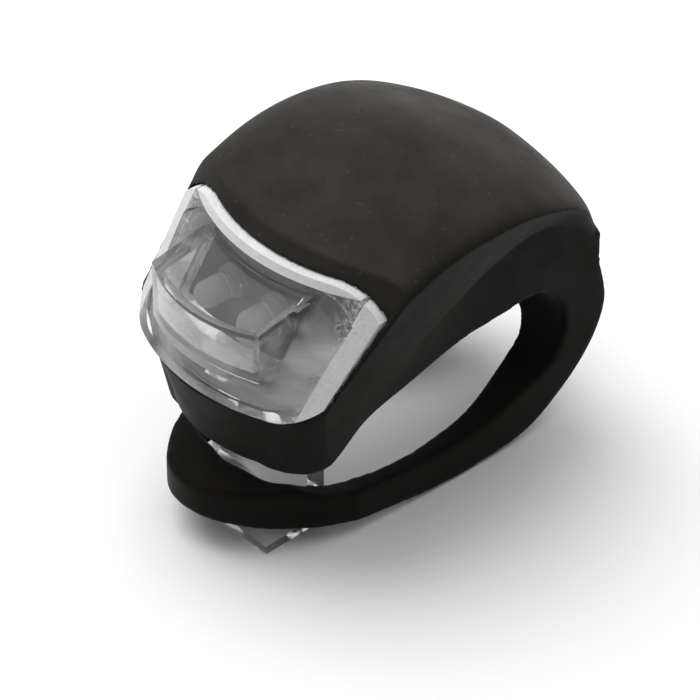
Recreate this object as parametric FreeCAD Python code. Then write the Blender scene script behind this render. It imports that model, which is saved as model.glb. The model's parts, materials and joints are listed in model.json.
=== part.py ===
import FreeCAD
import Part
import math
import os

Vector = FreeCAD.Vector

# Sizes in millimetres. A run is a distance backwards from the lens, and a rise is a height;
# both count from a point behind the middle of the lens, and at() turns them into the frame.

# Outer form
BODY_WIDTH = 31.8
BAND_WIDTH = 23.3
DOME_TOP = 23.8
FLOOR_RISE = -15.0
TAB_FRONT = -6.7
STRAP_REAR = 42.2
BODY_REAR = 41.0

# Silicone walls
COVER_WALL = 1.4
COVER_LIP = 0.25
COVER_LEAN = 0.81
STRAP_THICKNESS = 5.9
TAB_THICKNESS = 3.6
SPLIT_GAP = 0.1

# Bar seat: the round inside of the rear bend
SEAT_RADIUS = 6.0
SEAT_RUN = 30.3
SEAT_RISE = -2.0

# Slot in the strap
SLOT_WIDTH_MIDDLE = 18.6
SLOT_WIDTH_REAR = 12.2
SLOT_FRONT = -0.9
SLOT_REAR_TOP = -1.8

# Lens
LENS_WIDTH_TOP = 30.0
LENS_WIDTH_BOTTOM = 28.0
LENS_TOP = 17.15
LENS_TOP_CORNER = 14.65
LENS_BOTTOM = 4.65
LENS_BOTTOM_CORNER = 6.5
LENS_RADIUS = 24.4
LENS_LEAN = 0.72
LENS_FRONT = -4.8
LENS_FRONT_RISE = 5.5
RIM_THICKNESS = 1.8
BORDER_SIDE = 1.9
BORDER_TOP = 0.7
BORDER_STEP = 0.35
NOSE_FRONT = -5.1
NOSE_RADIUS = 18.1
NOSE_WIDTH = 16.5
NOSE_TOP = 14.0
NOSE_TOP_SLOPE = 0.18
NOSE_BOTTOM = 7.7
NOSE_WALL = 1.35
NOSE_AHEAD = 3.0
LENS_FIT = 0.1

# Chin
CHIN_FRONT = -5.5
CHIN_LEAN = -0.28
CHIN_HALF = 14.5
CHIN_FLARE = 0.33
CHIN_CORNER_LOW = 7.0
CHIN_CORNER_HIGH = 2.9
CHIN_RADIUS_LOW = 45.0
CHIN_BOTTOM = -3.7

# Case inside the silicone
CASE_GAP = 0.15
CASE_WALL = 0.9
CASE_PART_RISE = 11.0
CASE_PART_GAP = 0.05
CASE_OUT = COVER_WALL + CASE_GAP
CASE_IN = CASE_OUT + CASE_WALL
MODULE_REAR = 33.6

# Hook
HOOK_WIDTH = 15.2
NECK_FRONT = 3.7
NECK_THICKNESS = 2.3
LIP_TIP = -2.0
LIP_TIP_THICKNESS = 1.0
LIP_THICKNESS = 1.3
HOOK_FIT = 0.25

# Coin cells: as wide as the smaller room in the case, across it or along it
CELL_ROOM_SHARE = 0.8
CELL_CLEARANCE = 0.27
CELL_REAR_ROOM = 1.7
CELL_FRONT = 11.0
ROOM_ACROSS = BODY_WIDTH * CELL_ROOM_SHARE - 2 * (CASE_IN + CELL_CLEARANCE)
ROOM_ALONG = MODULE_REAR - CASE_WALL - CELL_REAR_ROOM - CELL_FRONT
CELL_DIAMETER = min(ROOM_ACROSS, ROOM_ALONG)
CELL_THICKNESS = 3.2
CELL_COUNT = 2
CELL_RUN = MODULE_REAR - CASE_WALL - CELL_REAR_ROOM - CELL_DIAMETER / 2
CELL_RISE = 11.0
CELL_CAP_DIAMETER = CELL_DIAMETER - 2.4
CELL_CAP_STEP = 0.35
CELL_WALL = 0.3

# Circuit board and switch
BOARD_THICKNESS = 0.6
BOARD_WIDTH = CELL_DIAMETER - 3.0
BOARD_FRONT = 14.0
BOARD_REAR = 27.5
BOARD_CORNER = 3.4
BOARD_GAP = 0.7
SWITCH_RUN = 21.6
SWITCH_SIZE = 5.2
SWITCH_HEIGHT = 0.75
SWITCH_PLATE = 0.15
PLUNGER_DIAMETER = 2.2
PLUNGER_HEIGHT = 0.45
BUTTON_DIAMETER = 7.0
BUTTON_FLANGE = 8.4
BUTTON_FLANGE_THICKNESS = 0.5
BUTTON_CLEARANCE = 0.08

# Light-emitting diodes
LED_SPACING = 6.6
LED_RISE = 10.9
LED_TIP = -1.3
LED_DIAMETER = 3.0
LED_FLANGE = 3.8
LED_LENGTH = 5.3
LED_FLANGE_THICKNESS = 0.8
LEAD_SIZE = 0.4
LEAD_SPACING = 2.54
LEAD_ROOM = 1.3
LEAD_RUN = CELL_RUN - CELL_DIAMETER / 2 - LEAD_ROOM

RUN_CENTRE = (TAB_FRONT + STRAP_REAR) / 2

# Half the size of a space that is larger than the part on every side
REACH = 2 * (STRAP_REAR - TAB_FRONT)


def at(x, run, rise):
    return Vector(x, run - RUN_CENTRE, rise - FLOOR_RISE)


def block(x0, x1, run0, run1, rise0, rise1):
    corner = at(x0, run0, rise0)
    return Part.makeBox(x1 - x0, run1 - run0, rise1 - rise0, corner)


def space(run0=-REACH, run1=REACH, rise0=-REACH, rise1=REACH):
    """A box wider than the part, open on each side that isn't given."""
    return block(-REACH, REACH, run0, run1, rise0, rise1)


def upright(radius, height, x, run, rise):
    return Part.makeCylinder(radius, height, at(x, run, rise), Vector(0, 0, 1))


def wire_of(points):
    return Part.makePolygon(points + [points[0]])


def side_prism(profile, half_width):
    """A side outline, given as (run, rise) pairs, drawn across the part."""
    face = Part.Face(wire_of([at(-half_width, run, rise) for run, rise in profile]))
    return face.extrude(Vector(2 * half_width, 0, 0))


def one_solid(shape):
    solids = shape.Solids
    return max(solids, key=lambda s: s.Volume)


# Body form. Each station has its run and then: underside, ridge, half width at the ridge, shoulder, half
# width at the shoulder, roof, squareness. Widths and roof are shares of the half width and the dome's height.
STATIONS = [
    (-10.0, CHIN_BOTTOM, 6.8, 0.92, 13.0, 0.97, 0.56, 3.0),
    (-6.0, CHIN_BOTTOM, 6.75, 0.92, 13.1, 0.975, 0.605, 3.0),
    (-2.0, CHIN_BOTTOM, 6.7, 0.92, 13.2, 0.98, 0.65, 3.0),
    (3.5, CHIN_BOTTOM, 6.0, 0.88, 14.2, 1.0, 0.76, 2.4),
    (9.0, 0.0, 5.6, 0.84, 15.7, 1.0, 0.84, 2.1),
    (14.5, 1.5, 7.0, 0.80, 17.8, 1.0, 0.94, 1.9),
    (20.0, 3.0, 9.0, 0.76, 18.6, 1.0, 1.0, 1.7),
    (25.5, 3.6, 10.9, 0.735, 18.4, 0.99, 0.972, 1.6),
    (31.0, 4.15, 12.1, 0.73, 16.9, 0.96, 0.876, 1.6),
    (35.5, 4.2, 11.0, 0.73, 14.3, 0.89, 0.777, 1.6),
    (39.0, 4.2, 7.6, 0.73, 10.5, 0.77, 0.62, 1.7),
    (BODY_REAR, 4.3, 6.6, 0.73, 7.2, 0.74, 0.37, 2.0),
]
ROOF_POINTS = 13


def section(station, inset):
    """The outline across the body at one station, drawn in by inset."""
    run, under, ridge, ridge_share, shoulder, share, roof_share, power = station
    half = BODY_WIDTH / 2
    low = BAND_WIDTH / 2 - inset
    near = half * ridge_share - inset
    wide = half * share - inset
    under = under + inset
    roof = DOME_TOP * roof_share - inset
    ridge = max(ridge, under + 0.5)
    shoulder = min(shoulder, roof - 0.5)
    arch = []
    for i in range(ROOF_POINTS):
        angle = math.pi * i / (ROOF_POINTS - 1)
        x = wide * math.copysign(abs(math.cos(angle)) ** (2 / power), math.cos(angle))
        rise = shoulder + (roof - shoulder) * abs(math.sin(angle)) ** (2 / power)
        arch.append(at(x, run, rise))
    curve = Part.BSplineCurve()
    curve.interpolate(arch)
    right = [at(low, run, under), at(near, run, ridge), arch[0]]
    left = [arch[-1], at(-near, run, ridge), at(-low, run, under)]
    edges = [Part.makeLine(right[0], right[1]), Part.makeLine(right[1], right[2]), curve.toShape()]
    edges += [Part.makeLine(left[0], left[1]), Part.makeLine(left[1], left[2]), Part.makeLine(left[2], right[0])]
    return Part.Wire(edges)


def body_form(inset=0.0):
    return Part.makeLoft([section(station, inset) for station in STATIONS], True, False)


def front_block(front, radius, lean, level, low, high):
    """Everything behind a round front that leans back by lean for each unit of rise."""
    half = radius * 0.8
    start = front + (low - level) * lean
    sag = radius - math.sqrt(radius ** 2 - half ** 2)
    reach = REACH
    arc = Part.Arc(at(-half, start + sag, low), at(0, start, low), at(half, start + sag, low)).toShape()
    back = [at(half, start + sag, low), at(half, reach, low), at(-half, reach, low), at(-half, start + sag, low)]
    lines = [Part.makeLine(back[i], back[i + 1]) for i in range(3)]
    face = Part.Face(Part.Wire([arc] + lines))
    return face.extrude(Vector(0, (high - low) * lean, high - low))


def cover_front():
    """The space behind the silicone's edge, which stands proud under the lens and steps back over it."""
    front = LENS_FRONT - COVER_LIP
    return front_block(front, LENS_RADIUS, COVER_LEAN, LENS_FRONT_RISE, -DOME_TOP / 3, DOME_TOP * 1.25)


def lens_front(depth=0.0):
    """The space behind the lens face, moved back by depth."""
    return front_block(LENS_FRONT + depth, LENS_RADIUS, LENS_LEAN, LENS_FRONT_RISE, -DOME_TOP / 3, DOME_TOP * 1.25)


def round_front(rise, radius, corner, depth):
    """The outline round the chin at one rise, with rounded corners, drawn in by depth."""
    half = CHIN_HALF + (rise - LENS_BOTTOM) * CHIN_FLARE - depth
    radius = radius - depth
    corner = corner - depth
    front = CHIN_FRONT + (rise - LENS_BOTTOM) * CHIN_LEAN + depth
    centre = front + radius
    cx = half - corner
    cy = centre - math.sqrt((radius - corner) ** 2 - cx ** 2)
    turn = math.atan2(cx, centre - cy)
    middle = (turn + math.pi / 2) / 2
    meet = (radius * math.sin(turn), centre - radius * math.cos(turn))
    on_arc = (cx + corner * math.sin(middle), cy - corner * math.cos(middle))
    back = REACH

    def p(x, run):
        return at(x, run, rise)

    edges = [
        Part.Arc(p(-meet[0], meet[1]), p(0, front), p(*meet)).toShape(),
        Part.Arc(p(*meet), p(*on_arc), p(half, cy)).toShape(),
        Part.makeLine(p(half, cy), p(half, back)),
        Part.makeLine(p(half, back), p(-half, back)),
        Part.makeLine(p(-half, back), p(-half, cy)),
        Part.Arc(p(-half, cy), p(-on_arc[0], on_arc[1]), p(-meet[0], meet[1])).toShape(),
    ]
    return Part.Wire(edges)


def chin_front(depth=0.0):
    """The space behind the chin face, moved back by depth."""
    low = round_front(CHIN_BOTTOM * 2, CHIN_RADIUS_LOW, CHIN_CORNER_LOW, depth)
    high = round_front(LENS_TOP + 0.5, LENS_RADIUS, CHIN_CORNER_HIGH, depth)
    lower = Part.makeLoft([low, high], True, True)
    return lower.fuse(space(rise0=LENS_TOP + 0.5))


def lens_outline(side, edge):
    """The lens from the front, as a prism through the body, grown by side at its sides and edge at top and bottom."""
    top = LENS_WIDTH_TOP / 2 + side
    bottom = LENS_WIDTH_BOTTOM / 2 + side
    high = LENS_TOP + edge
    low = LENS_BOTTOM - edge
    run = -BODY_WIDTH / 2
    top_drop = LENS_TOP - LENS_TOP_CORNER
    bottom_rise = LENS_BOTTOM_CORNER - LENS_BOTTOM
    edges = []
    a = [at(-top, run, high - top_drop), at(-0.86 * top, run, high - 0.36 * top_drop), at(-0.6 * top, run, high)]
    b = [at(0.6 * top, run, high), at(0.86 * top, run, high - 0.36 * top_drop), at(top, run, high - top_drop)]
    side = low + bottom_rise
    knee = low + 0.36 * bottom_rise
    c = [at(bottom, run, side), at(0.9 * bottom, run, knee), at(0.7 * bottom, run, low)]
    d = [at(-0.7 * bottom, run, low), at(-0.9 * bottom, run, knee), at(-bottom, run, side)]
    arcs = [a, b, c, d]
    for i, points in enumerate(arcs):
        edges.append(Part.Arc(*points).toShape())
        edges.append(Part.makeLine(points[2], arcs[(i + 1) % 4][0]))
    return Part.Face(Part.Wire(edges)).extrude(Vector(0, REACH, 0))


def nose_form(inset, back):
    """The box-shaped nose, drawn in by inset, as far back as back."""
    front = NOSE_FRONT - NOSE_AHEAD
    low = NOSE_BOTTOM + inset
    high_front = NOSE_TOP - inset + (front - NOSE_FRONT) * NOSE_TOP_SLOPE
    high_back = NOSE_TOP - inset + (back - NOSE_FRONT) * NOSE_TOP_SLOPE
    profile = [(front, low), (back, low), (back, high_back), (front, high_front)]
    box = side_prism(profile, NOSE_WIDTH / 2 - inset)
    return box.common(front_block(NOSE_FRONT + inset, NOSE_RADIUS, 0, 0, 0, DOME_TOP))


def front_lens():
    rim = lens_outline(0, 0).common(lens_front()).cut(lens_front(RIM_THICKNESS))
    rim = rim.cut(lens_outline(-BORDER_SIDE, -BORDER_TOP).cut(lens_front(BORDER_STEP)))
    nose = nose_form(0, NOSE_WIDTH).cut(lens_front(RIM_THICKNESS))
    return rim.fuse(nose).cut(nose_form(NOSE_WALL, 2 * NOSE_WIDTH)).removeSplitter()


# Silicone strap and pull tab

TAB_TOP = -7.5
TAB_SPLIT = 9.5
TAB_TOP_REAR = 1.5
TAB_TOP_RISE = 0.4
SEAT_END = -75
ROOT_HEIGHT = 3.4
STRAP_SPLIT_RISE = 3.8

# Inner face of the strap in front of the bend, as (share of the way forward to the tab, drop below the seat).
STRAP_SAG = [(0.062, 1.0), (0.157, 2.0), (0.278, 2.3), (0.386, 2.2), (0.5, 1.9), (0.6, 1.5), (0.69, 0.8)]

# Outer face of the strap: round the bend as (angle, share of the thickness), then
# under the strap as (share of the way forward to the tab, height above the floor).
STRAP_BEND = [(30, 1.07), (12, 1.01), (0, 1.0), (-12, 0.94), (-26, 0.86), (-45, 0.8), (-64, 0.83), (-80, 0.96)]
STRAP_UNDERSIDE = [(0.12, 0.3), (0.22, 0.15), (0.38, 0.5), (0.55, 1.35), (0.7, 2.15), (0.85, 2.9)]


def spline(points):
    curve = Part.BSplineCurve()
    curve.interpolate(points)
    return curve.toShape()


def strap_ring():
    """The bent band in one piece and at full width, from the body's rear round to the tab."""
    half = BAND_WIDTH / 2
    top = SEAT_RISE + SEAT_RADIUS
    low = SEAT_RISE - SEAT_RADIUS
    tab_top = TAB_TOP + TAB_TOP_RISE
    tab_low = tab_top - TAB_THICKNESS

    def p(run, rise):
        return at(-half, run, rise)

    def bend(angle, share):
        reach = SEAT_RADIUS + STRAP_THICKNESS * share
        angle = math.radians(angle)
        return p(SEAT_RUN + reach * math.cos(angle), SEAT_RISE + reach * math.sin(angle))

    outer = [bend(angle, share) for angle, share in STRAP_BEND]
    length = SEAT_RUN - TAB_FRONT
    outer += [p(SEAT_RUN - length * share, FLOOR_RISE + height) for share, height in STRAP_UNDERSIDE]
    outer.append(p(TAB_FRONT, tab_low))
    inner = [p(SEAT_RUN - length * share, low - drop) for share, drop in STRAP_SAG]
    seat_end = bend(SEAT_END, 0)
    root = p(outer[0].y + RUN_CENTRE, top + ROOT_HEIGHT)
    edges = [
        Part.Arc(p(SEAT_RUN, top), p(SEAT_RUN + SEAT_RADIUS, SEAT_RISE), seat_end).toShape(),
        spline([seat_end] + inner + [p(TAB_TOP_REAR, TAB_TOP)]),
        Part.makeLine(p(TAB_TOP_REAR, TAB_TOP), p(TAB_FRONT, tab_top)),
        Part.makeLine(p(TAB_FRONT, tab_top), p(TAB_FRONT, tab_low)),
        spline(outer[::-1]),
        Part.makeLine(outer[0], root),
        Part.makeLine(root, p(SEAT_RUN, top + ROOT_HEIGHT)),
        Part.makeLine(p(SEAT_RUN, top + ROOT_HEIGHT), p(SEAT_RUN, top)),
    ]
    return Part.Face(Part.Wire(edges)).extrude(Vector(2 * half, 0, 0))


# Plan of the slot: (run, share of the widest half width)
SLOT_PLAN = [(-0.45, 0.25), (0.2, 0.58), (1.8, 0.78), (4.0, 0.88), (7.5, 0.95), (12.0, 1.0), (17.0, 0.99)]
SLOT_PLAN += [(21.0, 0.94), (26.0, 0.87), (30.5, 0.75)]


def slot_form():
    """The long slot: round in front, widest under the body, and round-topped in the rear bend."""
    widest = SLOT_WIDTH_MIDDLE / 2
    rear = SLOT_WIDTH_REAR / 2
    low = FLOOR_RISE - 2
    arch_foot = SLOT_REAR_TOP - rear * 0.9
    end = SEAT_RUN + 3
    right = [(run, widest * share) for run, share in SLOT_PLAN] + [(end, rear)]
    points = [at(-half, run, low) for run, half in right[::-1]] + [at(0, SLOT_FRONT, low)]
    points += [at(half, run, low) for run, half in right]
    tail = [at(rear, end, low), at(rear, STRAP_REAR + 3, low), at(-rear, STRAP_REAR + 3, low), at(-rear, end, low)]
    edges = [spline(points)] + [Part.makeLine(tail[i], tail[i + 1]) for i in range(3)]
    lower = Part.Face(Part.Wire(edges)).extrude(Vector(0, 0, arch_foot - low))
    foot = SEAT_RUN
    arch = Part.Arc(at(-rear, foot, arch_foot), at(0, foot, SLOT_REAR_TOP), at(rear, foot, arch_foot)).toShape()
    base = Part.makeLine(at(rear, foot, arch_foot), at(-rear, foot, arch_foot))
    upper = Part.Face(Part.Wire([arch, base])).extrude(Vector(0, STRAP_REAR - foot + 3, 0))
    high = block(-widest, widest, SLOT_FRONT - 2, SEAT_RUN, arch_foot, SEAT_RISE)
    front = Part.Face(Part.Wire(edges)).extrude(Vector(0, 0, SEAT_RISE - low)).common(high)
    return lower.fuse(upper).fuse(front)


# Plan of the strap's front end: (run behind the tip, share of the half width)
TAB_PLAN = [(0.25, 0.16), (0.95, 0.30), (2.0, 0.42), (3.3, 0.53), (5.3, 0.67), (8.0, 0.81)]
TAB_PLAN += [(10.6, 0.92), (13.2, 0.98)]
TAB_STRAIGHT = 16.5


def tab_outline():
    """The strap's plan at its front end: sides drawn in to a round tip."""
    half = BAND_WIDTH / 2
    low = FLOOR_RISE - 2
    end = TAB_FRONT + TAB_STRAIGHT
    right = [(TAB_FRONT + run, half * share) for run, share in TAB_PLAN] + [(end, half)]
    points = [at(-x, run, low) for run, x in right[::-1]] + [at(0, TAB_FRONT, low)]
    points += [at(x, run, low) for run, x in right]
    curve = Part.BSplineCurve()
    curve.interpolate(points, InitialTangent=Vector(0, -1, 0), FinalTangent=Vector(0, 1, 0))
    back = [at(half, end, low), at(half, REACH, low), at(-half, REACH, low), at(-half, end, low)]
    edges = [curve.toShape()] + [Part.makeLine(back[i], back[i + 1]) for i in range(3)]
    return Part.Face(Part.Wire(edges)).extrude(Vector(0, 0, REACH))


def strap_pieces():
    ring = strap_ring().common(tab_outline()).cut(slot_form())
    root = ring.common(space(rise0=STRAP_SPLIT_RISE))
    band = ring.common(space(run0=TAB_SPLIT, rise1=STRAP_SPLIT_RISE - SPLIT_GAP))
    tab = ring.common(space(run1=TAB_SPLIT - SPLIT_GAP, rise1=STRAP_SPLIT_RISE))
    return root, one_solid(band), one_solid(tab)


# Silicone cover

HOOK_PASSAGE_TOP = 2.0
CHIN_SLANT = math.hypot(1, CHIN_LEAN)


def silicone_cover(root):
    shell = body_form().common(cover_front()).common(chin_front())
    shell = shell.fuse(root)
    hollow = body_form(COVER_WALL).common(space(run1=MODULE_REAR + CASE_GAP))
    hollow = hollow.common(lens_front(RIM_THICKNESS)).common(chin_front(COVER_WALL * CHIN_SLANT))
    window = lens_outline(LENS_FIT, LENS_FIT).common(lens_front(-2)).cut(lens_front(RIM_THICKNESS + 0.5))
    wide = HOOK_WIDTH / 2 + HOOK_FIT
    near = NECK_FRONT - HOOK_FIT
    passage = block(-wide, wide, near, near + NECK_THICKNESS + 2 * HOOK_FIT, 2 * CHIN_BOTTOM, HOOK_PASSAGE_TOP)
    return one_solid(shell.cut(hollow).cut(window).cut(passage).cut(slot_form()))


# Case: lower half with the hook, upper half with the button


def case_form(inset, rear):
    form = body_form(inset).common(space(run1=rear))
    return form.common(chin_front(inset * CHIN_SLANT))


TRAY_TOP = CELL_RISE - 0.5
TRAY_THICKNESS = 0.8
TRAY_FRONT = CELL_RUN - CELL_DIAMETER / 2 - 0.2
HOOK_TOP = 0.5
HOOK_BEND_RUN = 1.1
HOOK_BEND_RISE = 0.3


def hook_base():
    tub = case_form(CASE_OUT, MODULE_REAR).common(lens_front(RIM_THICKNESS + 0.15))
    tub = tub.common(space(rise1=CASE_PART_RISE))
    inside = case_form(CASE_IN, MODULE_REAR - CASE_WALL)
    shell = tub.cut(inside)
    tray = tub.common(space(run0=TRAY_FRONT, rise0=TRAY_TOP - TRAY_THICKNESS, rise1=TRAY_TOP))
    half = HOOK_WIDTH / 2
    rear = NECK_FRONT + NECK_THICKNESS
    hook = side_prism(
        [
            (NECK_FRONT, HOOK_TOP),
            (rear, HOOK_TOP),
            (rear, FLOOR_RISE + LIP_THICKNESS),
            (rear - HOOK_BEND_RUN, FLOOR_RISE + HOOK_BEND_RISE),
            (LIP_TIP, FLOOR_RISE),
            (LIP_TIP, FLOOR_RISE + LIP_TIP_THICKNESS),
            (NECK_FRONT, FLOOR_RISE + LIP_THICKNESS),
        ],
        half,
    )
    return one_solid(shell.fuse(tray).fuse(hook.cut(inside)))


POST_X = 5.6
POST_RUN = 24.6
POST_RADIUS = 1.3
SCREW_RADIUS = 0.5
SCREW_HEAD_RADIUS = 1.0
SCREW_HEAD = 0.4
SCREW_LENGTH = 2.2
SCREW_END_ROOM = 0.4
BOARD_RISE = CELL_RISE + CELL_COUNT * CELL_THICKNESS + BOARD_GAP
BOARD_TOP = BOARD_RISE + BOARD_THICKNESS
SWITCH_TOP = BOARD_TOP + SWITCH_HEIGHT
PLATE_TOP = SWITCH_TOP + SWITCH_PLATE
PLUNGER_TOP = PLATE_TOP + PLUNGER_HEIGHT


def inner_cover():
    hood = case_form(CASE_OUT, MODULE_REAR).common(lens_front(RIM_THICKNESS + 0.4))
    hood = hood.common(space(rise0=CASE_PART_RISE + CASE_PART_GAP))
    inside = case_form(CASE_IN, MODULE_REAR - CASE_WALL)
    shell = hood.cut(inside)
    for side in (-1, 1):
        post = upright(POST_RADIUS, DOME_TOP, side * POST_X, POST_RUN, BOARD_TOP).common(hood)
        depth = SCREW_LENGTH - BOARD_THICKNESS + SCREW_END_ROOM
        post = post.cut(upright(SCREW_RADIUS, depth, side * POST_X, POST_RUN, BOARD_TOP))
        shell = shell.fuse(post)
    above = PLUNGER_TOP + BUTTON_FLANGE_THICKNESS
    hole = upright(BUTTON_DIAMETER / 2 + BUTTON_CLEARANCE, DOME_TOP, 0, SWITCH_RUN, above)
    return one_solid(shell.cut(hole))


# Switch and push button

WELL_RADIUS = 2.0
WELL_FLOOR = BOARD_TOP + 0.15
PLUNGER_FLANGE = 0.22
PLUNGER_REST = 0.02
BUTTON_ROOF_GAP = 0.3
SNAP_RADIUS = 1.8
SNAP_THICKNESS = 0.06
TERMINAL_SPREAD = 1.6
TERMINAL_LENGTH = 0.7
TERMINAL_HALF = 0.3


def push_button():
    flange = upright(BUTTON_FLANGE / 2, BUTTON_FLANGE_THICKNESS, 0, SWITCH_RUN, PLUNGER_TOP)
    stem = upright(BUTTON_DIAMETER / 2, DOME_TOP, 0, SWITCH_RUN, PLUNGER_TOP)
    stem = stem.common(body_form(COVER_WALL + BUTTON_ROOF_GAP))
    return one_solid(flange.fuse(stem))


def switch_pieces():
    half = SWITCH_SIZE / 2
    case = block(-half, half, SWITCH_RUN - half, SWITCH_RUN + half, BOARD_TOP, SWITCH_TOP)
    case = case.cut(upright(WELL_RADIUS, SWITCH_HEIGHT, 0, SWITCH_RUN, WELL_FLOOR))
    plate = block(-half, half, SWITCH_RUN - half, SWITCH_RUN + half, SWITCH_TOP, PLATE_TOP)
    plate = plate.cut(upright(PLUNGER_DIAMETER / 2 + BUTTON_CLEARANCE, SWITCH_HEIGHT, 0, SWITCH_RUN, SWITCH_TOP))
    foot = SWITCH_TOP - PLUNGER_REST
    plunger = upright(PLUNGER_DIAMETER / 2, PLUNGER_TOP - foot, 0, SWITCH_RUN, foot)
    flange = upright(WELL_RADIUS - 0.2, PLUNGER_FLANGE, 0, SWITCH_RUN, foot - PLUNGER_FLANGE)
    plunger = plunger.fuse(flange).removeSplitter()
    height = foot - PLUNGER_FLANGE - WELL_FLOOR
    sphere_radius = (SNAP_RADIUS ** 2 + height ** 2) / (2 * height)
    centre = at(0, SWITCH_RUN, WELL_FLOOR + height - sphere_radius)
    ball = Part.makeSphere(sphere_radius, centre)
    ball = ball.cut(Part.makeSphere(sphere_radius - SNAP_THICKNESS, centre))
    snap = ball.common(upright(SNAP_RADIUS, SWITCH_HEIGHT, 0, SWITCH_RUN, WELL_FLOOR))
    pins = []
    for side in (-1, 1):
        for end in (-1, 1):
            run = SWITCH_RUN + end * TERMINAL_SPREAD
            inner = side * half
            outer = inner + side * TERMINAL_LENGTH
            low, high = min(inner, outer), max(inner, outer)
            pin = block(low, high, run - TERMINAL_HALF, run + TERMINAL_HALF, BOARD_TOP, BOARD_TOP + SWITCH_PLATE)
            pins.append(pin)
    return case, plate, plunger, snap, Part.makeCompound(pins)


# Circuit board with its parts

LEAD_BOARD_RUN = 15.0
CHIP_RUN = 17.0


def lead_places():
    for side in (-1, 1):
        for pin in (-0.5, 0.5):
            yield side * LED_SPACING / 2 + pin * LEAD_SPACING


def circuit_board():
    half = BOARD_WIDTH / 2
    near = half - BOARD_CORNER
    outline = [(-near, BOARD_FRONT), (near, BOARD_FRONT), (half, BOARD_FRONT + BOARD_CORNER), (half, BOARD_REAR)]
    outline += [(-half, BOARD_REAR), (-half, BOARD_FRONT + BOARD_CORNER)]
    face = Part.Face(wire_of([at(x, run, BOARD_RISE) for x, run in outline]))
    board = face.extrude(Vector(0, 0, BOARD_THICKNESS))
    for x in lead_places():
        board = board.cut(upright(LEAD_SIZE * 0.75, BOARD_THICKNESS, x, LEAD_BOARD_RUN, BOARD_RISE))
    for side in (-1, 1):
        board = board.cut(upright(SCREW_RADIUS + 0.1, BOARD_THICKNESS, side * POST_X, POST_RUN, BOARD_RISE))
    return board


def board_screws():
    screws = []
    for side in (-1, 1):
        head = upright(SCREW_HEAD_RADIUS, SCREW_HEAD, side * POST_X, POST_RUN, BOARD_RISE - SCREW_HEAD)
        shank = upright(SCREW_RADIUS - 0.02, SCREW_LENGTH, side * POST_X, POST_RUN, BOARD_RISE - 0.01)
        screws.append(head.fuse(shank).removeSplitter())
    return Part.makeCompound(screws)


CHIP_SIZE = (3.9, 3.0, 1.1)
RESISTOR_SIZE = (0.8, 1.6, 0.45)
RESISTOR_PLACES = (-5.8, -4.2, 4.2)
CAPACITOR_SIZE = (1.25, 2.0, 0.9)
CAPACITOR_PLACE = 6.0


def on_board(x, size):
    """A block of that size on top of the board, in line with the chip."""
    wide, deep, tall = size
    return block(x - wide / 2, x + wide / 2, CHIP_RUN - deep / 2, CHIP_RUN + deep / 2, BOARD_TOP, BOARD_TOP + tall)


def small_parts():
    resistors = Part.makeCompound([on_board(x, RESISTOR_SIZE) for x in RESISTOR_PLACES])
    return on_board(0, CHIP_SIZE), resistors, on_board(CAPACITOR_PLACE, CAPACITOR_SIZE)


# Light-emitting diodes


def diode(side):
    x = side * LED_SPACING / 2
    radius = LED_DIAMETER / 2
    forward = Vector(0, 1, 0)
    barrel = Part.makeCylinder(radius, LED_LENGTH - radius, at(x, LED_TIP + radius, LED_RISE), forward)
    tip = Part.makeSphere(radius, at(x, LED_TIP + radius, LED_RISE))
    rim_run = LED_TIP + LED_LENGTH - LED_FLANGE_THICKNESS
    rim = Part.makeCylinder(LED_FLANGE / 2, LED_FLANGE_THICKNESS, at(x, rim_run, LED_RISE), forward)
    return barrel.fuse(tip).fuse(rim).removeSplitter()


def ribbon(path, thickness, x0, x1):
    """A bent strip that follows a (run, rise) path, between two values of x."""
    sides = []
    for sign in (1, -1):
        line = []
        for i, (run, rise) in enumerate(path):
            before = path[max(i - 1, 0)]
            after = path[min(i + 1, len(path) - 1)]
            ways = []
            for a, b in ((before, (run, rise)), ((run, rise), after)):
                span = math.hypot(b[0] - a[0], b[1] - a[1])
                if span:
                    ways.append(((b[0] - a[0]) / span, (b[1] - a[1]) / span))
            normal = (-sum(w[1] for w in ways), sum(w[0] for w in ways))
            size = math.hypot(*normal)
            unit = (normal[0] / size, normal[1] / size)
            miter = unit[0] * -ways[0][1] + unit[1] * ways[0][0]
            reach = sign * thickness / 2 / miter
            line.append((run + unit[0] * reach, rise + unit[1] * reach))
        sides.append(line)
    outline = sides[0] + sides[1][::-1]
    face = Part.Face(wire_of([at(x0, run, rise) for run, rise in outline]))
    return face.extrude(Vector(x1 - x0, 0, 0))


def diode_leads(side):
    half = LEAD_SIZE / 2
    level = BOARD_RISE - half - 0.05
    path = [
        (LED_TIP + LED_LENGTH, LED_RISE),
        (LEAD_RUN, LED_RISE),
        (LEAD_RUN, level - 1.1),
        (LEAD_RUN + 1.3, level),
        (LEAD_BOARD_RUN, level),
        (LEAD_BOARD_RUN, BOARD_TOP + 0.25),
    ]
    leads = []
    for pin in (-0.5, 0.5):
        x = side * LED_SPACING / 2 + pin * LEAD_SPACING
        leads.append(ribbon(path, LEAD_SIZE, x - half, x + half))
    return Part.makeCompound(leads)


HOLDER_THICKNESS = 1.0
HOLDER_FIT = 0.05


def led_holder():
    """A plate across the case behind the diodes, with a hole for each lead."""
    front = LED_TIP + LED_LENGTH
    plate = case_form(CASE_IN + HOLDER_FIT, MODULE_REAR).common(lens_front(RIM_THICKNESS + 0.3))
    plate = plate.common(space(run0=front, run1=front + HOLDER_THICKNESS))
    for x in lead_places():
        hole = Part.makeCylinder(LEAD_SIZE * 0.75, HOLDER_THICKNESS, at(x, front, LED_RISE), Vector(0, 1, 0))
        plate = plate.cut(hole)
    return one_solid(plate)


# Coin cells: caps face down, cans face up


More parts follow.
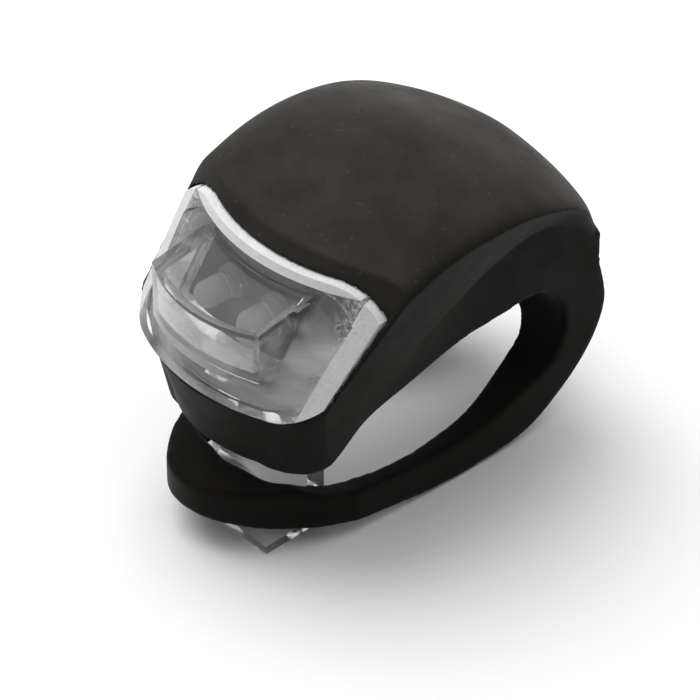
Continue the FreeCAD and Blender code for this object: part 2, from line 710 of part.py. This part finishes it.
def cell_pieces(level):
    low = CELL_RISE + level * CELL_THICKNESS
    high = low + CELL_THICKNESS
    radius = CELL_DIAMETER / 2
    cap_radius = CELL_CAP_DIAMETER / 2
    inner = radius - CELL_WALL

    def disc(r, r_hole, a, b):
        shape = upright(r, b - a, 0, CELL_RUN, a)
        if r_hole:
            shape = shape.cut(upright(r_hole, b - a, 0, CELL_RUN, a))
        return shape

    roof = high - CELL_WALL
    cap_top = roof - 0.5
    can = disc(radius, 0, low + CELL_CAP_STEP, high).cut(disc(inner, 0, low, roof))
    cap = disc(cap_radius, 0, low, cap_top).cut(disc(cap_radius - CELL_WALL, 0, low + CELL_WALL, high))
    seal = disc(inner, cap_radius, low + CELL_CAP_STEP, cap_top)
    core = cap_radius - CELL_WALL - 0.2
    lithium_top = low + CELL_WALL + 0.6
    separator_top = lithium_top + 0.2
    return {
        "can": can,
        "cap": cap,
        "seal": seal,
        "lithium_disc": disc(core, 0, low + CELL_WALL, lithium_top),
        "separator": disc(core, 0, lithium_top, separator_top),
        "cathode_pellet": disc(core, 0, separator_top, roof),
    }


# Battery contacts

CONTACT_WIDTH = 4.0
CONTACT = 0.15
CONTACT_START = 2.0
CONTACT_FLAT = 3.0
CONTACT_TIP = 2.5
CONTACT_TOUCH = 1.5
CONTACT_GAP = 0.5


def positive_contact():
    half = CONTACT / 2
    under_board = BOARD_RISE - half
    on_cell = CELL_RISE + CELL_COUNT * CELL_THICKNESS + half
    start = BOARD_FRONT + CONTACT_START
    bend = start + CONTACT_FLAT
    landing = bend + CONTACT_FLAT
    path = [(start, under_board), (bend, under_board), (landing, on_cell), (landing + CONTACT_TIP, on_cell)]
    return ribbon(path, CONTACT, -CONTACT_WIDTH / 2, CONTACT_WIDTH / 2)


def negative_contact():
    half = CONTACT / 2
    back = CELL_RUN + CELL_DIAMETER / 2 + CONTACT_GAP
    on_tray = TRAY_TOP + half
    under_cell = CELL_RISE - half
    middle = CELL_RUN - CONTACT_TOUCH
    path = [
        (BOARD_REAR - CONTACT_TOUCH, BOARD_RISE - half),
        (back, BOARD_RISE - half),
        (back, on_tray),
        (middle + CONTACT_FLAT, on_tray),
        (middle, under_cell),
        (middle - CONTACT_START, under_cell),
    ]
    return ribbon(path, CONTACT, -CONTACT_WIDTH / 2, CONTACT_WIDTH / 2)


def export(name, shape):
    state = "valid" if shape.isValid() else "NOT VALID"
    print(name, "solids:", len(shape.Solids), "volume:", round(shape.Volume, 1), state)
    shape.exportStep("parts/" + name + ".step")


os.makedirs("parts", exist_ok=True)

strap_root, strap_band, pull_tab = strap_pieces()
export("silicone_cover", silicone_cover(strap_root))
export("silicone_strap", strap_band)
export("pull_tab", pull_tab)
export("front_lens", front_lens())
export("hook_base", hook_base())
export("inner_cover", inner_cover())
export("push_button", push_button())
switch = dict(zip(("case", "plate", "plunger", "snap_dome", "terminals"), switch_pieces()))
for name, shape in switch.items():
    export("switch_" + name, shape)
export("circuit_board", circuit_board())
export("board_screws", board_screws())
chip, resistors, capacitor = small_parts()
export("driver_chip", chip)
export("chip_resistors", resistors)
export("chip_capacitor", capacitor)
for side, word in ((-1, "left"), (1, "right")):
    export("led_" + word, diode(side))
    export("led_leads_" + word, diode_leads(side))
export("led_holder", led_holder())
for level, word in enumerate(("lower", "upper")):
    for name, shape in cell_pieces(level).items():
        export(word + "_cell_" + name, shape)
export("positive_contact", positive_contact())
export("negative_contact", negative_contact())
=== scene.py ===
import json
import math
import bpy
import numpy as np
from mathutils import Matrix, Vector
from mathutils.bvhtree import BVHTree


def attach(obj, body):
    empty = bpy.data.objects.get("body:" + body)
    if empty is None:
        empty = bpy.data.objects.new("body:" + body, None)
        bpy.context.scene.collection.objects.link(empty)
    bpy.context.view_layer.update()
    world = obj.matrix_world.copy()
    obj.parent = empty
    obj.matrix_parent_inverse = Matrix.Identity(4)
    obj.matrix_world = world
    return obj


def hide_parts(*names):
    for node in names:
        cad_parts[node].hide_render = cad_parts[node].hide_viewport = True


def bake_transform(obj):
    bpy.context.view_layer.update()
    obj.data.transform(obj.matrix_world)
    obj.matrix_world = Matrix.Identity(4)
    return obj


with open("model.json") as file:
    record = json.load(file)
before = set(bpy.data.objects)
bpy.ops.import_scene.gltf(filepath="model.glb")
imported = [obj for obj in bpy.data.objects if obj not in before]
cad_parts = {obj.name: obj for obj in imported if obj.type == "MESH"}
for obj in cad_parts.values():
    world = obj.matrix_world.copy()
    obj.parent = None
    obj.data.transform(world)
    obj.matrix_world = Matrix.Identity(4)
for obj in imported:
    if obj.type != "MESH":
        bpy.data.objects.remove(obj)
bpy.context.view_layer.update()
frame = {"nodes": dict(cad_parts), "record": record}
NODES = frame["nodes"]
MM = 0.001

# Camera, worked out from the outlines in the photograph, in degrees, metres and, for the lens, millimetres

CAMERA_AZIMUTH = 48.6
CAMERA_ELEVATION = 37.0
CAMERA_CENTRE = Vector((0, -2.35, 23.8)) * MM
CAMERA_AIM = Vector((4.2, -5.15, 17.2)) * MM
CAMERA_DISTANCE = 0.473
CAMERA_SENSOR = 36
CAMERA_LENS = 236.6
CAMERA_NEAR = 0.01
CAMERA_FAR = 20

# Light from one wide lamp, and from a world that is bright round WORLD_SIDE and dim away from it

KEY_DIRECTION = Vector((-0.55, 0.05, 1.0))
KEY_POWER = 1.5
KEY_ANGLE = 55
WORLD_SIDE = (-0.38, 0.25, 0.89)
WORLD_BRIGHT_AT = 0.85
WORLD_BRIGHT = 1.05
WORLD_DIM = 0.05
WORLD_SEEN = 1.0
WHITE = (1, 1, 1, 1)

# Floor: the whites that it shows, and the grey with which it throws light back on the object

FLOOR_HALF = 3.0
FLOOR_WHITE = (0.99, 0.99, 0.99)
FLOOR_COOL = (0.98, 0.98, 0.99)
FLOOR_BOUNCE = (0.35, 0.35, 0.35)

# Colours of the soft and clear pieces

# The first rubber tone is darkened as painted shade for the sides, the strap and the tab; the second is dust
# and painted light on the high faces that point up
RUBBER = (0.0072, 0.0066, 0.0057)
RUBBER_DUST_AND_LIGHT = (0.039, 0.0364, 0.0320)
RUBBER_SPECK = (0.075, 0.070, 0.062)
RUBBER_SHEEN = (1.0, 0.96, 0.91, 1.0)
CLEAR_TINT = (0.93, 0.935, 0.945, 1.0)
WINDOW_TINT = (0.96, 0.965, 0.975)
BORDER_TINT = (0.94, 0.94, 0.95)
EPOXY_TINT = (0.96, 0.95, 0.92, 1.0)
CLEAR_IOR = 1.5
EPOXY_IOR = 1.53

# Places on the part that the materials follow: heights, and distances from the middle plane

# Heights over which the rubber turns from painted shade to dust and painted light
DUST_AND_LIGHT_FROM = 12 * MM
DUST_AND_LIGHT_FULL = 30 * MM
# Heights over which painted light, as milky streaks, fades in low on the lens's front
PAINTED_LIGHT_FROM = 29.0 * MM
PAINTED_LIGHT_FULL = 27.0 * MM
SPECKLE_FROM = 10.2 * MM
SPECKLE_FULL = 13.0 * MM
BORDER_TOP = 31.42 * MM
BORDER_SIDE = 13.12 * MM
BORDER_SIDE_HEIGHT = 32.15 * MM
BORDER_LEAN = 0.08

# Soft skin: where the strap and the tab begin, and how the pieces are joined and rounded

STRAP_TOP = 18.8 * MM
STRAP_FRONT = 13 * MM
STRAP_LOW = 9.5 * MM
TAB_SPLIT = -8.25 * MM
JOIN_REACH = 0.15 * MM
JOIN_OVERLAP = 0.4 * MM
VOXEL = 0.2 * MM
INNER_NODES = ("hook_base", "inner_cover", "front_lens")
INNER_REACH = 0.9 * MM
SMOOTH_FACTOR = 0.5
EDGE_ROUNDS = 5
STRAP_ROUNDS = 26
PATCH_ACROSS = (13.85 * MM, 14.3 * MM)
PATCH_ALONG = (-16.0 * MM, -14.5 * MM)
PATCH_RISE = (21.9 * MM, 22.9 * MM)
BOX_FACES = [(0, 1, 3, 2), (4, 6, 7, 5), (0, 4, 5, 1), (2, 3, 7, 6), (0, 2, 6, 4), (1, 5, 7, 3)]

# Rounds on the edges of the clear mouldings

EDGE_ANGLE = 35
EDGE_SEGMENTS = 3
LENS_EDGE = 0.16 * MM
HOOK_EDGE = 0.2 * MM


# Node helpers

class Nodes:
    """Makes, sets and links the nodes of one tree."""

    def __init__(self, tree):
        self.tree = tree

    def node(self, kind, inputs=None, **settings):
        made = self.tree.nodes.new(kind)
        for key, value in settings.items():
            setattr(made, key, value)
        for key, value in (inputs or {}).items():
            self.put(made.inputs[key], value)
        return made

    def put(self, socket, value):
        """Links the value if it is another node's output, and sets it if not."""
        if isinstance(value, bpy.types.NodeSocket):
            self.tree.links.new(value, socket)
        else:
            socket.default_value = value

    def math(self, operation, a, b=0.0, clamp=False):
        return self.node("ShaderNodeMath", {0: a, 1: b}, operation=operation, use_clamp=clamp).outputs[0]

    def times(self, a, b):
        return self.math("MULTIPLY", a, b)

    def most(self, a, b):
        return self.math("MAXIMUM", a, b)

    def fit(self, value, low, high, to_low, to_high, curve="LINEAR"):
        """Takes low..high to to_low..to_high, and holds the end values beyond them."""
        keys = {"Value": value, "From Min": low, "From Max": high, "To Min": to_low, "To Max": to_high}
        return self.node("ShaderNodeMapRange", keys, interpolation_type=curve).outputs["Result"]

    def split(self, vector):
        return self.node("ShaderNodeSeparateXYZ", {0: vector}).outputs

    def seen(self):
        """1 for what the camera sees, also in gloss and through glass, and 0 for light on the object."""
        path = self.node("ShaderNodeLightPath").outputs
        return self.most(self.most(path["Is Camera Ray"], path["Is Transmission Ray"]), path["Is Glossy Ray"])


class Shader(Nodes):
    """A material, with its patterns placed by object coordinates in metres."""

    def __init__(self, name):
        self.material = bpy.data.materials.new(name)
        self.material.use_nodes = True
        super().__init__(self.material.node_tree)
        self.bsdf = self.tree.nodes["Principled BSDF"]
        self.place = self.node("ShaderNodeTexCoord").outputs["Object"]

    def set(self, **values):
        for key, value in values.items():
            self.put(self.bsdf.inputs[key.replace("_", " ")], value)

    def stretched(self, scale):
        return self.node("ShaderNodeMapping", {"Vector": self.place, "Scale": scale}).outputs["Vector"]

    def noise(self, scale, detail=3.0, rough=0.5, vector=None):
        keys = {"Vector": vector or self.place, "Scale": scale, "Detail": detail, "Roughness": rough}
        return self.node("ShaderNodeTexNoise", keys).outputs["Fac"]

    def mix(self, factor, a, b):
        made = self.node("ShaderNodeMix", {"Factor": factor}, data_type="RGBA")
        for socket, value in ((made.inputs[6], a), (made.inputs[7], b)):
            self.put(socket, value if isinstance(value, bpy.types.NodeSocket) else (*value, 1.0))
        return made.outputs[2]

    def bump(self, height, strength, distance, normal=None):
        keys = {"Height": height, "Strength": strength, "Distance": distance}
        if normal is not None:
            keys["Normal"] = normal
        return self.node("ShaderNodeBump", keys).outputs["Normal"]


# Camera and light

def set_camera():
    """The photograph's view: from the front right, looking down, through a long lens."""
    data = bpy.data.cameras.new("photo_camera")
    camera = bpy.data.objects.new("photo_camera", data)
    bpy.context.scene.collection.objects.link(camera)
    azimuth = math.radians(CAMERA_AZIMUTH)
    elevation = math.radians(CAMERA_ELEVATION)
    level = math.cos(elevation)
    toward = Vector((math.sin(azimuth) * level, -math.cos(azimuth) * level, math.sin(elevation)))
    camera.location = CAMERA_CENTRE + toward * CAMERA_DISTANCE
    camera.rotation_euler = (CAMERA_AIM - camera.location).to_track_quat("-Z", "Y").to_euler()
    data.sensor_width = CAMERA_SENSOR
    data.lens = CAMERA_LENS
    data.clip_start = CAMERA_NEAR
    data.clip_end = CAMERA_FAR
    bpy.context.scene.camera = camera


def set_key():
    """A wide lamp that leaves no image of itself in gloss or in the clear pieces."""
    data = bpy.data.lights.new("key", "SUN")
    data.energy = KEY_POWER
    data.angle = math.radians(KEY_ANGLE)
    lamp = bpy.data.objects.new("key", data)
    lamp.rotation_euler = KEY_DIRECTION.to_track_quat("Z", "Y").to_euler()
    lamp.visible_glossy = False
    lamp.visible_transmission = False
    bpy.context.scene.collection.objects.link(lamp)


def set_world():
    """Plain white to the camera, in gloss and through glass. As light it is bright overhead only."""
    world = bpy.data.worlds.new("studio")
    bpy.context.scene.world = world
    world.use_nodes = True
    w = Nodes(world.node_tree)
    back = w.tree.nodes["Background"]
    direction = w.node("ShaderNodeTexCoord").outputs["Generated"]
    facing = w.node("ShaderNodeVectorMath", {0: direction, 1: WORLD_SIDE}, operation="DOT_PRODUCT")
    light = w.fit(facing.outputs["Value"], 0.0, WORLD_BRIGHT_AT, WORLD_DIM, WORLD_BRIGHT, "SMOOTHSTEP")
    w.put(back.inputs["Color"], WHITE)
    w.put(back.inputs["Strength"], w.fit(w.seen(), 0.0, 1.0, light, WORLD_SEEN))


# Materials

def silicone():
    """Matt black rubber, darkened low and on the sides as painted shade, with a paler tone where it faces up
    and stands high that is partly dust and partly painted light.
    """
    s = Shader("black_silicone")
    cloud = s.fit(s.noise(140, 4, 0.55), 0.35, 0.65, 0.55, 1.0)
    normal = s.node("ShaderNodeNewGeometry").outputs["Normal"]
    # Pale where it faces up and stands high, partly dust and partly painted light; dark low and on the sides,
    # as painted shade
    facing_up = s.fit(s.split(normal)["Z"], 0.25, 0.75, 0.0, 1.0)
    high = s.fit(s.split(s.place)["Z"], DUST_AND_LIGHT_FROM, DUST_AND_LIGHT_FULL, 0.0, 1.0)
    dust_and_light = s.times(s.times(facing_up, high), cloud)
    speck = s.fit(s.noise(1500, 1, 0.4), 0.70, 0.76, 0, 0.4)
    speck = s.times(speck, s.fit(dust_and_light, 0.0, 0.5, 0.25, 1.0))
    tone = s.mix(speck, s.mix(dust_and_light, RUBBER, RUBBER_DUST_AND_LIGHT), RUBBER_SPECK)
    grain = s.bump(s.noise(2600, 2, 0.6), 0.25, 0.02 * MM)
    wave = s.bump(s.noise(420, 3, 0.6), 0.25, 0.06 * MM, grain)
    s.set(Base_Color=tone, Roughness=s.fit(s.noise(300, 3), 0.3, 0.7, 0.52, 0.66), Normal=wave)
    s.set(Specular_IOR_Level=0.05, Sheen_Weight=0.09, Sheen_Roughness=0.45, Sheen_Tint=RUBBER_SHEEN)
    return s.material


def clear_plastic():
    """Clear moulding with flow ripples and a little milky haze."""
    s = Shader("clear_plastic")
    milk = s.fit(s.noise(110, 1, 0.4), 0.35, 0.65, 0.08, 0.16)
    s.set(Base_Color=CLEAR_TINT, IOR=CLEAR_IOR, Transmission_Weight=s.math("SUBTRACT", 1.0, milk))
    s.set(Roughness=s.fit(s.noise(520, 4, 0.6), 0.5, 0.8, 0.02, 0.12))
    s.set(Normal=s.bump(s.noise(330, 3, 0.55), 0.25, 0.08 * MM))
    return s.material


def lens_plastic():
    """The lens: clear, with milky streaks low on its front that are painted light from the floor below,
    speckles at its sides and a frosted flat border.
    """
    s = Shader("lens_plastic")
    part = s.split(s.place)
    rise = part["Z"]
    across = s.math("ABSOLUTE", part["X"])
    border = lens_border(s, across, rise)
    grit = s.noise(3800, 2, 0.7)
    frost = s.times(border, s.fit(grit, 0.3, 0.7, 0.6, 0.95))
    # Milky streaks low on the front: painted light, in place of the floor seen through the lens
    painted_light_streaks = s.fit(s.noise(230, 1, 0.4, s.stretched((0.6, 1.0, 1.6))), 0.42, 0.64, 0.07, 0.36)
    painted_light_streaks = s.times(s.fit(rise, PAINTED_LIGHT_FROM, PAINTED_LIGHT_FULL, 0.05, 1.0), painted_light_streaks)
    speckle = s.fit(s.noise(2400, 2, 0.7), 0.48, 0.62, 0.1, 0.8)
    speckle = s.times(s.fit(across, SPECKLE_FROM, SPECKLE_FULL, 0.0, 0.75), speckle)
    # The milk takes the frosted border, the speckles and the painted light streaks together
    milk = s.most(frost, s.most(painted_light_streaks, speckle))
    haze = s.fit(s.noise(520, 4, 0.6), 0.5, 0.8, 0.0, 0.07)
    ripple = s.bump(s.noise(330, 3, 0.55), 0.3, 0.09 * MM)
    s.set(Base_Color=s.mix(border, WINDOW_TINT, BORDER_TINT), IOR=CLEAR_IOR)
    s.set(Transmission_Weight=s.math("SUBTRACT", 1.0, milk))
    s.set(Roughness=s.math("ADD", haze, s.times(border, 0.35), clamp=True))
    s.set(Normal=s.bump(s.times(grit, border), 0.9, 0.06 * MM, ripple))
    return s.material


def lens_border(s, across, rise):
    """1 on the lens's flat border, 0 on its window and nose."""
    lean = s.times(s.math("SUBTRACT", BORDER_SIDE_HEIGHT, rise), BORDER_LEAN)
    beyond = s.math("GREATER_THAN", s.math("ADD", across, lean), BORDER_SIDE)
    return s.most(beyond, s.math("GREATER_THAN", rise, BORDER_TOP))


def plastic(name, tone, mottle, rough, grain=0.02, scale=2200, specular=0.45):
    """An opaque moulding or ceramic in two close tones, with a fine grain in millimetres."""
    s = Shader(name)
    cloud = s.fit(s.noise(scale * 0.25, 3), 0.35, 0.65, 0, 1)
    s.set(Base_Color=s.mix(cloud, tone, mottle), Specular_IOR_Level=specular)
    s.set(Roughness=s.fit(s.noise(scale, 2), 0.3, 0.7, rough - 0.07, rough + 0.08))
    s.set(Normal=s.bump(s.noise(scale, 3), 0.3, grain * MM))
    return s.material


def metal(name, tone, stain, rough, stretch=(1, 1, 14)):
    """A metal with stains and drawn lines, which run across the axis that is stretched."""
    s = Shader(name)
    lines = s.noise(900, 3, 0.6, s.stretched(stretch))
    cloud = s.fit(s.noise(500, 3), 0.35, 0.7, 0, 1)
    s.set(Base_Color=s.mix(cloud, tone, stain), Metallic=1.0)
    s.set(Roughness=s.fit(lines, 0.3, 0.7, rough - 0.08, rough + 0.1), Normal=s.bump(lines, 0.2, 0.01 * MM))
    return s.material


def board_laminate():
    """Green laminate with raised copper tracks under the lacquer."""
    s = Shader("board_laminate")
    keys = {"Vector": s.place, "Scale": 420.0, "Distortion": 1.5}
    weave = s.node("ShaderNodeTexWave", keys, bands_direction="X")
    tracks = s.fit(weave.outputs["Fac"], 0.55, 0.62, 0, 1)
    s.set(Base_Color=s.mix(tracks, (0.012, 0.10, 0.035), (0.02, 0.15, 0.05)), Specular_IOR_Level=0.5)
    s.set(Roughness=s.fit(s.noise(1500, 2), 0.3, 0.7, 0.22, 0.34), Normal=s.bump(tracks, 0.5, 0.03 * MM))
    return s.material


def separator_paper():
    """Pale paper with fibres in one direction."""
    s = Shader("separator_paper")
    fibre = s.noise(1800, 5, 0.75, s.stretched((1, 5, 1)))
    s.set(Base_Color=s.mix(fibre, (0.70, 0.68, 0.60), (0.86, 0.84, 0.78)))
    s.set(Roughness=s.fit(fibre, 0.3, 0.7, 0.8, 0.95), Normal=s.bump(fibre, 0.5, 0.04 * MM))
    return s.material


def led_epoxy():
    """Cast clear resin."""
    s = Shader("led_epoxy")
    haze = s.fit(s.noise(500, 2), 0.4, 0.7, 0.02, 0.12)
    s.set(Base_Color=EPOXY_TINT, IOR=EPOXY_IOR, Transmission_Weight=0.85, Roughness=haze)
    s.set(Normal=s.bump(s.noise(400, 2), 0.1, 0.05 * MM))
    return s.material


# Two tones and a roughness. Then grain, scale and specular level, or the stretch of the lines, where unusual

PLASTICS = {
    "white_plastic": ((0.72, 0.71, 0.69), (0.78, 0.77, 0.75), 0.45),
    "black_plastic": ((0.018, 0.018, 0.019), (0.03, 0.03, 0.031), 0.5),
    "ceramic": ((0.42, 0.30, 0.20), (0.50, 0.37, 0.26), 0.4, 0.03, 5000),
    "manganese_pellet": ((0.03, 0.03, 0.03), (0.06, 0.06, 0.06), 0.9, 0.06, 3500, 0.1),
}
METALS = {
    "tinned_metal": ((0.62, 0.62, 0.60), (0.5, 0.5, 0.49), 0.3),
    "bright_steel": ((0.66, 0.66, 0.65), (0.58, 0.57, 0.55), 0.22),
    "lithium_metal": ((0.50, 0.50, 0.52), (0.40, 0.40, 0.42), 0.5, (1, 1, 1)),
    "phosphor_bronze": ((0.62, 0.42, 0.22), (0.52, 0.34, 0.17), 0.3, (14, 1, 1)),
}
MATERIALS = {
    "black_silicone": silicone(),
    "clear_plastic": clear_plastic(),
    "lens_plastic": lens_plastic(),
    "board_laminate": board_laminate(),
    "separator_paper": separator_paper(),
    "led_epoxy": led_epoxy(),
    **{name: plastic(name, *values) for name, values in PLASTICS.items()},
    **{name: metal(name, *values) for name, values in METALS.items()},
}


def dress(obj, name):
    obj.data.materials.clear()
    obj.data.materials.append(MATERIALS[name])


def dress_nodes():
    """Every node gets its slot's material. The lens has its own, and both clear mouldings get soft edges."""
    for part in frame["record"]["subparts"]:
        dress(NODES[part["node"]], part["material_slot"])
    dress(NODES["front_lens"], "lens_plastic")
    round_edges("front_lens", LENS_EDGE)
    round_edges("hook_base", HOOK_EDGE)


def round_edges(node, width):
    """A small round on the node's edges, as moulding leaves it."""
    bevel = NODES[node].modifiers.new("edge", "BEVEL")
    bevel.width = width
    bevel.segments = EDGE_SEGMENTS
    bevel.limit_method = "ANGLE"
    bevel.angle_limit = math.radians(EDGE_ANGLE)
    bevel.harden_normals = True


# Meshes

def mesh_object(name, points, faces):
    mesh = bpy.data.meshes.new(name)
    mesh.from_pydata(points, [], faces)
    obj = bpy.data.objects.new(name, mesh)
    bpy.context.scene.collection.objects.link(obj)
    return obj


def coords(mesh):
    points = np.zeros(len(mesh.vertices) * 3)
    mesh.vertices.foreach_get("co", points)
    return points.reshape(-1, 3)


def surface(mesh):
    return BVHTree.FromPolygons([v.co for v in mesh.vertices], [p.vertices for p in mesh.polygons])


def apply_modifiers(obj):
    bpy.context.view_layer.update()
    graph = bpy.context.evaluated_depsgraph_get()
    mesh = bpy.data.meshes.new_from_object(obj.evaluated_get(graph))
    obj.modifiers.clear()
    obj.data = mesh


# Soft silicone: one skin over the cover, the strap and the tab, split where the strap begins

def soft_mesh(node, axis=None, end=0.0):
    """The node's points and faces. The points past its end on the axis reach on into the next piece."""
    mesh = NODES[node].data
    points = coords(mesh)
    if axis is not None:
        points[points[:, axis] > end - JOIN_REACH, axis] += JOIN_OVERLAP
    return points, [tuple(face.vertices) for face in mesh.polygons]


def wall_patch(side):
    """A small block inside the cover's wall beside the lens, where the wall is thinner than a voxel."""
    corners = [(side * x, y, z) for x in PATCH_ACROSS for y in PATCH_ALONG for z in PATCH_RISE]
    return np.array(corners), [face[::side] for face in BOX_FACES]


def skin():
    """The closed meshes of all the soft pieces in one object, overlapping where they join."""
    parts = [
        soft_mesh("silicone_cover"),
        soft_mesh("silicone_strap", 2, STRAP_TOP),
        soft_mesh("pull_tab", 1, TAB_SPLIT),
        wall_patch(1),
        wall_patch(-1),
    ]
    points = []
    faces = []
    for part_points, part_faces in parts:
        start = len(points)
        points += part_points.tolist()
        faces += [tuple(i + start for i in face) for face in part_faces]
    return mesh_object("skin", points, faces)


def in_strap(points):
    return ((points[:, 2] < STRAP_TOP) & (points[:, 1] > STRAP_FRONT)) | (points[:, 2] < STRAP_LOW)


def soften(obj):
    """Rounds the outer edges: a little round the lens and under the case, more on the strap."""
    remesh = obj.modifiers.new("remesh", "REMESH")
    remesh.mode = "VOXEL"
    remesh.voxel_size = VOXEL
    remesh.use_smooth_shade = True
    apply_modifiers(obj)
    mesh = obj.data
    inner = [surface(NODES[name].data) for name in INNER_NODES]
    free = np.ones(len(mesh.vertices))
    for i, vertex in enumerate(mesh.vertices):
        if any(tree.ray_cast(vertex.co, vertex.normal, INNER_REACH)[0] is not None for tree in inner):
            free[i] = 0.0
    groups = (("outer", free, EDGE_ROUNDS), ("strap", free * in_strap(coords(mesh)), STRAP_ROUNDS))
    for name, weights, rounds in groups:
        group = obj.vertex_groups.new(name=name)
        group.add(np.nonzero(weights)[0].tolist(), 1.0, "REPLACE")
        smooth = obj.modifiers.new(name, "SMOOTH")
        smooth.factor = SMOOTH_FACTOR
        smooth.iterations = rounds
        smooth.vertex_group = name
    apply_modifiers(obj)


def split_skin(obj):
    """Cuts the skin into the cover and the strap, which keep the same normals along the cut."""
    points = coords(obj.data)
    normals = np.array([v.normal[:] for v in obj.data.vertices])
    faces = [tuple(p.vertices) for p in obj.data.polygons]
    strap = in_strap(np.array([points[list(face)].mean(0) for face in faces]))
    made = []
    for name, chosen in (("soft_cover", ~strap), ("soft_strap", strap)):
        picked = [faces[i] for i in np.nonzero(chosen)[0]]
        used = sorted({v for face in picked for v in face})
        index = {v: i for i, v in enumerate(used)}
        piece = mesh_object(name, points[used].tolist(), [tuple(index[v] for v in face) for face in picked])
        piece.data.shade_smooth()
        piece.data.normals_split_custom_set_from_vertices(normals[used].tolist())
        made.append(piece)
    bpy.data.objects.remove(obj)
    return made


def make_silicone():
    obj = skin()
    soften(obj)
    cover, strap = split_skin(obj)
    for piece in (cover, strap):
        dress(piece, "black_silicone")
    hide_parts("silicone_cover")
    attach(cover, "light")
    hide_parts("silicone_strap", "pull_tab")
    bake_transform(strap)


# Floor

def make_floor():
    """A white sheet to the camera, in gloss and through glass, that throws little light back."""
    half = FLOOR_HALF
    corners = [(-half, -half, 0), (half, -half, 0), (half, half, 0), (-half, half, 0)]
    floor = mesh_object("floor", corners, [(0, 1, 2, 3)])
    s = Shader("floor")
    paper = s.mix(s.noise(30, 2), FLOOR_WHITE, FLOOR_COOL)
    paint = s.node("ShaderNodeBsdfDiffuse", {"Color": s.mix(s.seen(), FLOOR_BOUNCE, paper)})
    s.put(s.tree.nodes["Material Output"].inputs["Surface"], paint.outputs["BSDF"])
    floor.data.materials.append(s.material)


set_camera()
set_world()
set_key()
bpy.context.scene.view_settings.view_transform = "Standard"
make_floor()
dress_nodes()
make_silicone()
